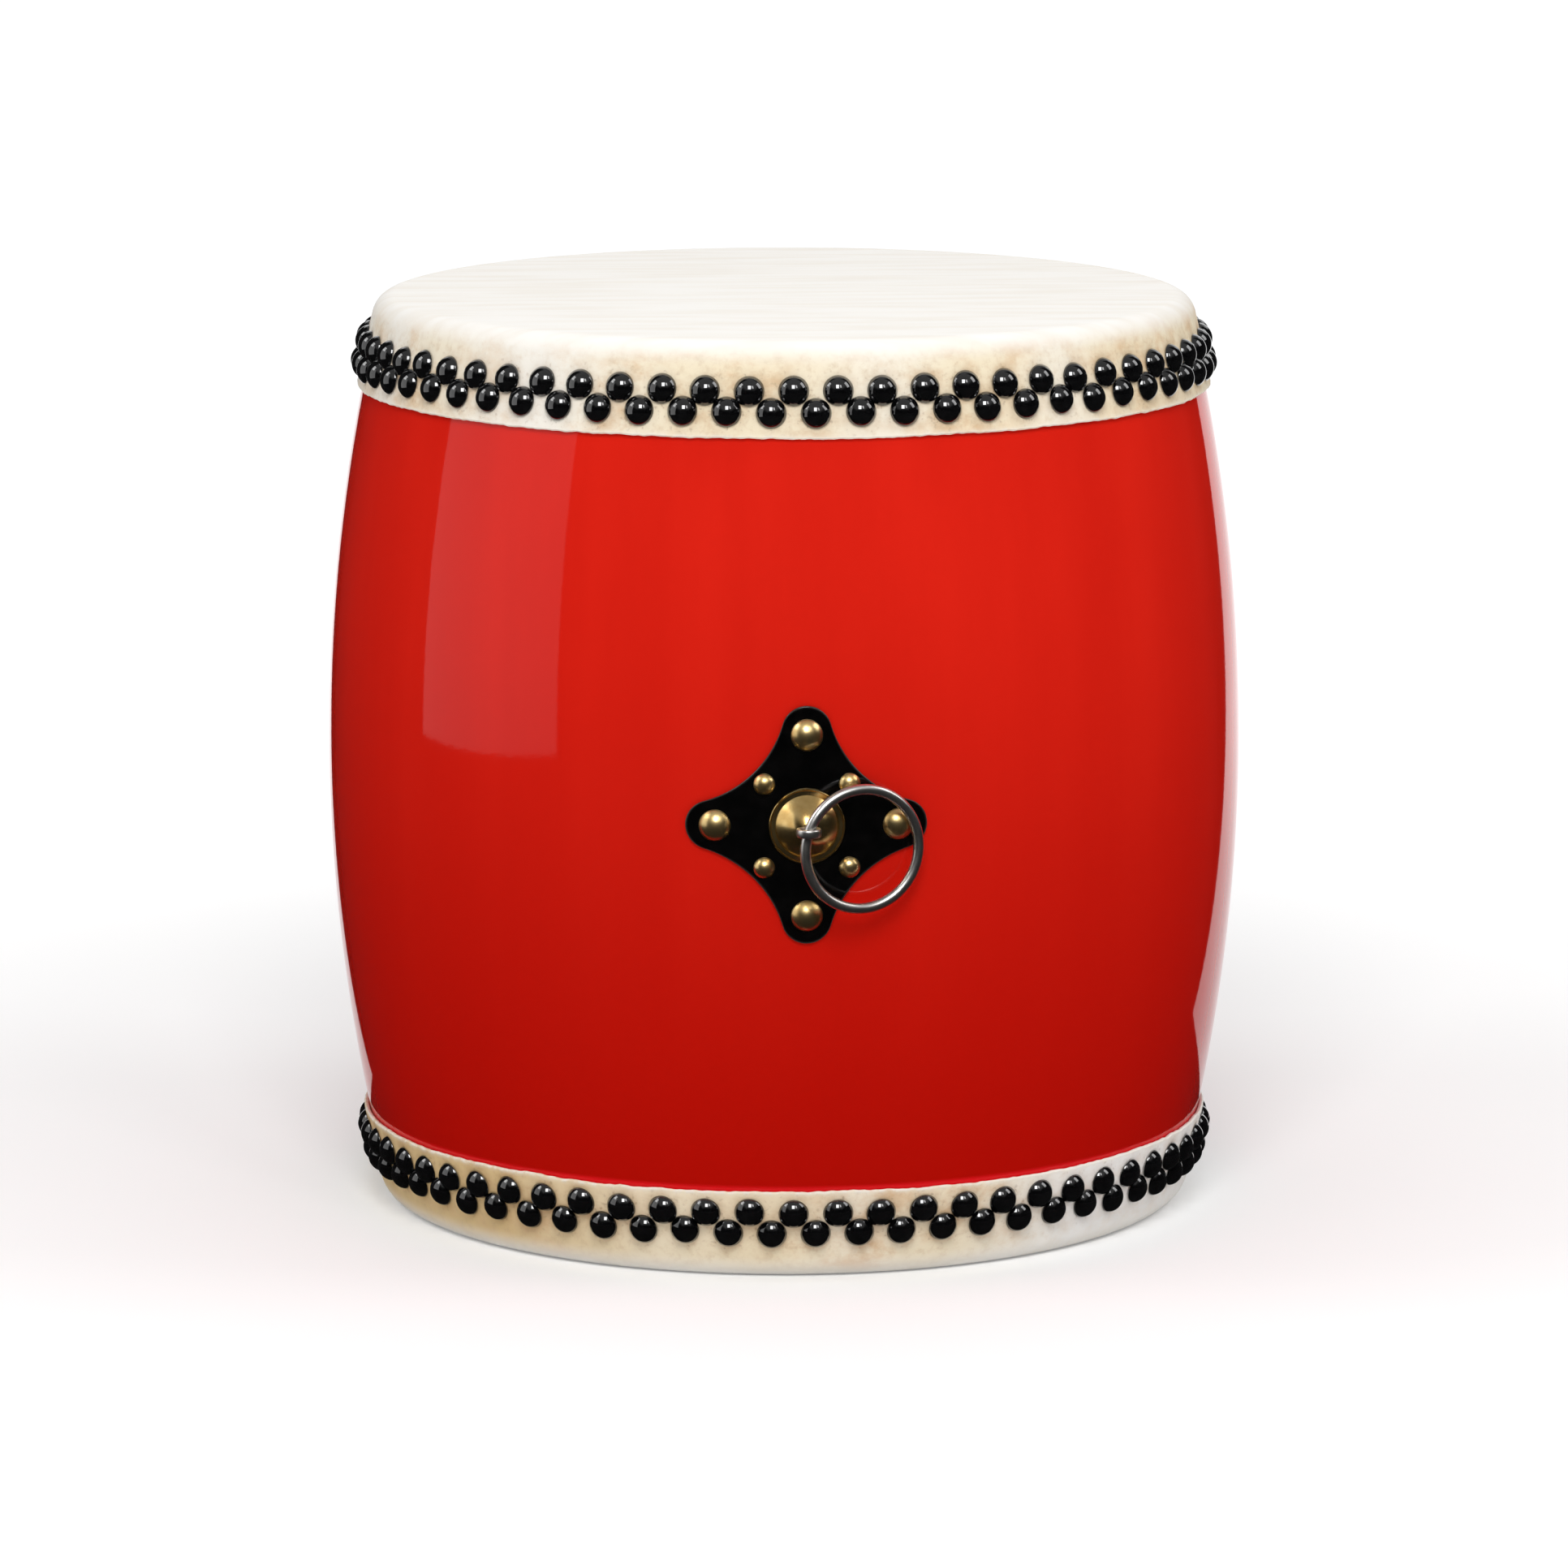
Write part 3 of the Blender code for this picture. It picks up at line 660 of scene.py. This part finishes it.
def head_profile(radius, height, shank_radius, length, steps):
    """A head shaped as a slice of a sphere on its shank, from the crown down."""
    rise = height - HEAD_EDGE
    ball = (radius ** 2 + rise ** 2) / (2 * rise)
    half_angle = math.asin(radius / ball)
    points = [(0.0, height)]
    for step in range(1, steps + 1):
        angle = half_angle * step / steps
        points.append((ball * math.sin(angle), height - ball + ball * math.cos(angle)))
    points += [(radius, HEAD_EDGE / 2), (radius - HEAD_EDGE, 0.0), (shank_radius, 0.0)]
    points += [(shank_radius, shank_radius - length), (0.0, -length)]
    return points


def tacks_shape(seed, tack_rows):
    heads = []
    profile = head_profile(TACK_RADIUS, TACK_HEIGHT, TACK_SHANK_RADIUS, GAP + SKIN_THICKNESS, TACK_STEPS)
    for row, depth in enumerate(tack_rows):
        for index, azimuth in enumerate(tack_azimuths(row)):
            shift = TACK_SHIFT * uneven(index * 1.37, row * 5.1, seed)
            turn = TACK_TURN * uneven(index * 2.11, row * 3.3, seed + 4)
            place = wall_frame(azimuth + turn, DRUM_HEIGHT - depth + shift, TACK_SEAT)
            lean_x = Matrix.Rotation(TACK_LEAN * uneven(index * 0.91, row * 2.7, seed + 8), 4, "X")
            lean_y = Matrix.Rotation(TACK_LEAN * uneven(index * 1.73, row * 1.9, seed + 12), 4, "Y")
            heads.append(turned(profile, TACK_SIDES, place @ lean_x @ lean_y))
    return merged(heads)


def add_tacks(material):
    kinds = (("upper_tacks", "tacks_top", 1.9, UPPER_TACK_ROWS),
             ("lower_tacks", "tacks_bottom", 23.4, LOWER_TACK_ROWS))
    for name, node, seed, tack_rows in kinds:
        vertices, faces = tacks_shape(seed, tack_rows)
        if node == "tacks_bottom":
            vertices = turned_over(vertices)
        add_piece(name, (vertices, faces), material, "drum", [node])


# Plate

def plate_outline():
    """Four round tips joined by sides that bow inwards, each side an arc tangent to both tips."""
    tip_centre = PLATE_REACH - PLATE_TIP_RADIUS
    waist = tip_centre / math.sqrt(2) + PLATE_TIP_RADIUS - PLATE_BOW
    inner = tip_centre / math.sqrt(2) - PLATE_BOW
    side_centre = (tip_centre ** 2 - inner ** 2) / (2 * PLATE_BOW)
    along = side_centre / math.sqrt(2)
    turn = math.atan2(along, along - tip_centre)
    tip = arc_points(tip_centre, 0.0, PLATE_TIP_RADIUS, -turn, turn, PLATE_STEPS)
    inwards = 1.25 * math.pi
    swing = turn - math.pi / 4
    side = arc_points(along, along, side_centre - waist, inwards + swing, inwards - swing, PLATE_STEPS)
    outline = []
    for angle in QUARTERS.values():
        cosine, sine = math.cos(angle), math.sin(angle)
        for x, y in tip + side[1:-1]:
            outline.append((x * cosine - y * sine, x * sine + y * cosine))
    return outline


def over_wall(side, x, y, lift):
    """A point over the wall that lies at x, y when the fitting is seen from straight ahead."""
    azimuth = SIDES[side] + math.asin(x / wall_radius(MIDDLE + y))
    return wall_frame(azimuth, MIDDLE + y, lift).translation


def add_plate(side, material):
    """A plate in layers, each with its share of the outline, inset, lift and painted highlight on the
    edge.
    """
    outline = plate_outline()
    top = GAP + PLATE_THICKNESS
    layers = [(share, 0.0, top, 0.0) for share in PLATE_SHARES]
    # In the bevel layers the last number is the share of painted highlight on the edge.
    layers += [(1.0, PLATE_BEVEL * 2.2, top, 0.0), (1.0, PLATE_BEVEL, top, 0.3)]
    layers += [(1.0, PLATE_BEVEL * 0.3, top - PLATE_BEVEL * 0.3, 1.0), (1.0, 0.0, top - PLATE_BEVEL, 0.6)]
    layers += [(1.0, 0.0, GAP, 0.0)]
    layers += [(share, 0.0, GAP, 0.0) for share in reversed(PLATE_SHARES)]
    rings = []
    edge_highlights = []
    for share, inset, lift, edge in layers:
        if share == 0.0:
            rings.append([over_wall(side, 0.0, 0.0, lift)])
            edge_highlights.append(0.0)
            continue
        ring = []
        for x, y in outline:
            reach = share - inset / math.hypot(x, y)
            ring.append(over_wall(side, x * reach, y * reach, lift))
            edge_highlights.append(edge)
        rings.append(ring)
    shape = joined_rings(rings)
    add_piece(f"{side}_plate_sheet", shape, material, "drum", [f"{side}_plate"],
              sharp_degrees=50, values={"edge": edge_highlights})


# Boss and nails

def boss_rise(part):
    """Share of the boss's height at a share of the way from its hole to its foot."""
    return BOSS_CONE * (1 - part) + (1 - BOSS_CONE) * math.cos(math.pi / 2 * part)


def add_boss(side, material):
    outer = []
    for step in range(BOSS_STEPS + 1):
        part = step / BOSS_STEPS
        radius = BOSS_HOLE_RADIUS + (BOSS_DOME_RADIUS - BOSS_HOLE_RADIUS) * part
        outer.append((radius, BOSS_GROOVE + (BOSS_HEIGHT - BOSS_GROOVE) * boss_rise(part)))
    rim = [(BOSS_RADIUS - inset, height) for inset, height in BOSS_RIM]
    inner = []
    for step in range(BOSS_INNER_STEPS + 1):
        part = 1 - step / BOSS_INNER_STEPS
        radius = BOSS_HOLE_RADIUS + (BOSS_DOME_RADIUS - BOSS_SHEET - BOSS_HOLE_RADIUS) * part
        inner.append((radius, (BOSS_HEIGHT - BOSS_SHEET) * boss_rise(part)))
    place = wall_frame(SIDES[side], MIDDLE, PLATE_SEAT)
    shape = turned(outer + rim + inner, BOSS_SIDES, place, loop=True)
    add_piece(f"{side}_boss_cup", shape, material, "drum", [f"{side}_boss"])


def add_nails(side, material):
    for index, (name, angle) in enumerate(QUARTERS.items()):
        kinds = ((f"{side}_nail_{name}", angle, BIG_NAIL),
                 (f"{side}_small_nail_{index + 1}", angle + math.pi / 4, SMALL_NAIL))
        for node, towards, (circle, radius, height, shank_radius, length) in kinds:
            azimuth = SIDES[side] + circle * math.cos(towards) / BELLY_RADIUS
            place = wall_frame(azimuth, MIDDLE + circle * math.sin(towards), PLATE_SEAT)
            profile = head_profile(radius, height, shank_radius, length + PLATE_SEAT, NAIL_STEPS)
            shape = turned(profile, NAIL_SIDES, place)
            add_piece(f"{node}_head", shape, material, "drum", [node])


# Split pin

def pin_path():
    """The pin's centre line in the plane of its eye: x sideways and the lift off the wall."""
    neck_x = LEG_OFFSET + LEG_BEND_RADIUS
    neck_reach = EYE_RADIUS + LEG_BEND_RADIUS
    neck_angle = math.asin(neck_x / neck_reach)
    neck_y = EYE_LIFT - neck_reach * math.cos(neck_angle)
    bend_y = LEG_BEND_RADIUS - CLENCH_DEPTH
    eye = arc_points(0.0, EYE_LIFT, EYE_RADIUS, math.pi / 2, neck_angle - math.pi / 2, EYE_STEPS)
    neck = arc_points(neck_x, neck_y, LEG_BEND_RADIUS, math.pi / 2 + neck_angle, math.pi, NECK_STEPS)
    bend = arc_points(neck_x, bend_y, LEG_BEND_RADIUS, math.pi, 1.5 * math.pi, BEND_STEPS)
    right = eye + neck[1:] + bend + [(LEG_CLENCH, -CLENCH_DEPTH)]
    return [(-x, y) for x, y in right[:0:-1]] + right


def add_split_pin(side, material):
    place = wall_frame(SIDES[side], MIDDLE, 0.0)
    path = [Vector(point) for point in pin_path()]
    section = []
    for step in range(STRAP_SIDES):
        angle = 2 * math.pi * step / STRAP_SIDES
        across, along = math.cos(angle), math.sin(angle)
        section.append((math.copysign(abs(across) ** STRAP_SQUARENESS, across) * STRAP_THICKNESS / 2,
                        math.copysign(abs(along) ** STRAP_SQUARENESS, along) * STRAP_HEIGHT / 2))
    rings = []
    for index, point in enumerate(path):
        before = path[max(index - 1, 0)]
        after = path[min(index + 1, len(path) - 1)]
        heading = (after - before).normalized()
        normal = Vector((-heading.y, heading.x))
        ring = []
        for across, along in section:
            spot = point + normal * across
            ring.append(place @ Vector((spot.x, along, spot.y)))
        rings.append(ring)
    ends = [[place @ Vector((path[i].x, 0.0, path[i].y))] for i in (0, -1)]
    shape = joined_rings([ends[0]] + rings + [ends[1]])
    add_piece(f"{side}_pin_strap", shape, material, "drum", [f"{side}_split_pin"],
              sharp_degrees=60)


# Ring

def ring_frame(node):
    """The ring's centre, plane and radius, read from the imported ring."""
    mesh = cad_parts[node].data
    points = np.array([vertex.co for vertex in mesh.vertices])
    centre = points.mean(axis=0)
    _, _, axes = np.linalg.svd(points - centre, full_matrices=False)
    normal = Vector(axes[2]).normalized()
    reach = np.linalg.norm(points - centre, axis=1).max()
    return Vector(centre), normal, reach - RING_WIRE_RADIUS


def add_ring(side, material):
    centre, normal, radius = ring_frame(f"{side}_ring")
    around = Vector((0.0, 0.0, 1.0)).cross(normal).normalized()
    if around.x * (1 if side == "front" else -1) < 0:
        around.negate()
    upwards = normal.cross(around).normalized()
    if upwards.z < 0:
        upwards.negate()
    rings = []
    for step in range(RING_STEPS):
        angle = 2 * math.pi * step / RING_STEPS
        off = (angle - WELD_ANGLE + math.pi) % (2 * math.pi) - math.pi
        groove = WELD_GROOVE[0] * math.exp(-((off / WELD_GROOVE[1]) ** 2))
        bead = WELD_BEAD[0] * math.exp(-((off / WELD_BEAD[1]) ** 2))
        wire = RING_WIRE_RADIUS * (RING_WIRE_SHARE + bead - groove)
        out = around * math.cos(angle) + upwards * math.sin(angle)
        ring = []
        for turn in range(WIRE_SIDES):
            way = 2 * math.pi * turn / WIRE_SIDES
            ring.append(centre + out * (radius + wire * math.cos(way)) + normal * (wire * math.sin(way)))
        rings.append(ring)
    shape = joined_rings(rings, loop=True)
    add_piece(f"{side}_ring_wire", shape, material, f"{side}_ring_body", [f"{side}_ring"])


# Studio

def add_camera():
    data = bpy.data.cameras.new("photo_camera")
    data.lens = FOCAL_LENGTH_MM
    data.sensor_width = SENSOR_MM
    data.clip_end = CAMERA_FARTHEST
    camera = linked("photo_camera", data)
    camera.location = CAMERA_PLACE
    camera.rotation_euler = (math.pi / 2 - CAMERA_PITCH, 0.0, CAMERA_YAW)
    bpy.context.scene.camera = camera


def add_softbox(name, place, target, width, height, glow):
    """A rectangular lamp that faces the target and glows as brightly as white does at 1."""
    data = bpy.data.lights.new(name, "AREA")
    data.shape = "RECTANGLE"
    data.size = width
    data.size_y = height
    data.energy = glow * math.pi * width * height
    lamp = linked(name, data)
    lamp.location = place
    lamp.rotation_euler = (Vector(target) - Vector(place)).to_track_quat("-Z", "Y").to_euler()
    lamp.visible_camera = False
    return lamp


def seen_share(n):
    """1 for rays that see the white background, straight, mirrored or through glass, and 0 for others."""
    path = n.add("ShaderNodeLightPath")
    straight = n.math("MAXIMUM", path.outputs["Is Camera Ray"], path.outputs["Is Transmission Ray"])
    return n.math("MAXIMUM", straight, path.outputs["Is Glossy Ray"])


def add_world():
    world = bpy.data.worlds.new("studio")
    bpy.context.scene.world = world
    world.use_nodes = True
    n = Nodes.of_tree(world.node_tree)
    background = n.tree.nodes["Background"]
    background.inputs["Color"].default_value = WHITE
    n.feed(background, "Strength", n.math("MAXIMUM", seen_share(n), AMBIENT_GLOW))


def add_floor():
    quarters = ((-1, -1), (1, -1), (1, 1), (-1, 1))
    mesh = bpy.data.meshes.new("floor")
    mesh.from_pydata([(x * FLOOR_HALF, y * FLOOR_HALF, 0.0) for x, y in quarters], [], [(0, 1, 2, 3)])
    n = Nodes("floor")
    mottle = n.ramp(n.noise((3, 3, 3)), 0.3, 0.7, 0.0, 0.4)
    pale = n.mix(mottle, (0.88, 0.88, 0.88, 1.0), (0.86, 0.86, 0.86, 1.0))
    diffuse = n.add("ShaderNodeBsdfDiffuse", {"Color": pale})
    spot = n.add("ShaderNodeTexCoord").outputs["Object"]
    reach = n.add("ShaderNodeVectorMath", {"Vector": spot}, operation="LENGTH").outputs["Value"]
    glow = n.product(seen_share(n), n.ramp(reach, *FLOOR_GLOW_REACH, *FLOOR_GLOW))
    emission = n.add("ShaderNodeEmission", {"Color": WHITE, "Strength": glow})
    both = n.add("ShaderNodeAddShader")
    n.tree.links.new(diffuse.outputs["BSDF"], both.inputs[0])
    n.tree.links.new(emission.outputs["Emission"], both.inputs[1])
    n.tree.links.new(both.outputs["Shader"], n.tree.nodes["Material Output"].inputs["Surface"])
    mesh.materials.append(n.material)
    linked("floor", mesh)


def standing_screen(points):
    """A screen that stands on the floor along points of x, y and height."""
    corners = []
    for x, y, top in points:
        corners += [(x, y, 0.0), (x, y, top)]
    return corners, [(2 * i, 2 * i + 2, 2 * i + 3, 2 * i + 1) for i in range(len(points) - 1)]


def add_screens():
    """A dark tent and floor cloth round the front and a grey canopy, which show only in mirrored rays."""
    (near_right, far_right), (near_left, far_left) = [
        (beside + spread * OPENING_NEAREST, beside + spread * OPENING_FARTHEST)
        for beside, spread in (OPENING_RIGHT, OPENING_LEFT)]
    front = [(SCREEN_SIDE, OPENING_NEAREST), (SCREEN_SIDE, -SCREEN_FRONT),
             (-SCREEN_SIDE, -SCREEN_FRONT), (-SCREEN_SIDE, OPENING_NEAREST)]
    right, left = (near_right, OPENING_NEAREST), (-near_left, OPENING_NEAREST)
    tent = [(x, y, CANOPY_HEIGHT) for x, y in (right, *front, left)]
    wings = [[(*right, WING_HEIGHTS[0]), (far_right, OPENING_FARTHEST, WING_HEIGHTS[1])],
             [(*left, WING_HEIGHTS[0]), (-far_left, OPENING_FARTHEST, WING_HEIGHTS[1])]]
    past_side = math.asin(OPENING_NEAREST / BARE_FLOOR_RADIUS)
    start, end = math.pi - past_side, 2 * math.pi + past_side
    bare = arc_points(0.0, 0.0, BARE_FLOOR_RADIUS, start, end, BARE_FLOOR_STEPS)
    cloth = [(x, y, CLOTH_LIFT) for x, y in (left, *bare, right, *front)]
    back = [(-SCREEN_SIDE, CANOPY_BACK), (SCREEN_SIDE, CANOPY_BACK)]
    canopy = [(x, y, CANOPY_HEIGHT) for x, y in (*front[1:3], *back)]
    sheets = [standing_screen(points) for points in (tent, *wings)]
    sheets += [(corners, [tuple(range(len(corners)))]) for corners in (cloth, canopy)]
    vertices, faces = merged(sheets)
    mesh = bpy.data.meshes.new("screens")
    mesh.from_pydata(vertices, [], faces)
    n = Nodes("screen_cloth")
    weave = n.ramp(n.noise((40, 40, 40)), 0.3, 0.7)
    n.shade(Base_Color=n.mix(weave, rgb(38, 38, 38), rgb(34, 34, 34)))
    n.shade(Roughness=1.0, Specular_IOR_Level=0.0)
    n.shade(Emission_Color=WHITE, Emission_Strength=n.ramp(n.height(), *GLOW_HEIGHTS, 0.0, CANOPY_GLOW))
    mesh.materials.append(n.material)
    screens = linked("screens", mesh)
    screens.visible_camera = False
    screens.visible_diffuse = False
    screens.visible_transmission = False
    screens.visible_shadow = False


def add_studio():
    bpy.context.scene.view_settings.view_transform = "Standard"
    add_camera()
    add_world()
    add_floor()
    add_screens()
    window = add_softbox("left_window", WINDOW_PLACE, WINDOW_TARGET, *WINDOW_SIZE, WINDOW_GLOW)
    window.visible_diffuse = False
    for name, (place, width, height, glow) in LAMPS.items():
        lamp = add_softbox(name, place, (0.0, 0.0, MIDDLE), width, height, glow)
        lamp.visible_glossy = name != "overhead"


def build():
    steel = steel_material()
    brass = brass_material("nail_brass", rgb(252, 222, 158), rgb(236, 198, 126), 0.30, 0.0, 0.12)
    spun = brass_material("spun_brass", rgb(248, 213, 144), rgb(226, 184, 113), 0.19, 0.6, 0.04)
    plate = plate_material()
    add_body(lacquer_material())
    add_skins(hide_material())
    add_tacks(enamel_material())
    for side in SIDES:
        add_plate(side, plate)
        add_boss(side, spun)
        add_nails(side, brass)
        add_split_pin(side, steel)
        add_ring(side, steel)
        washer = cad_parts[f"{side}_pin_washer"]
        washer.data.materials.clear()
        washer.data.materials.append(steel)
    add_studio()


build()
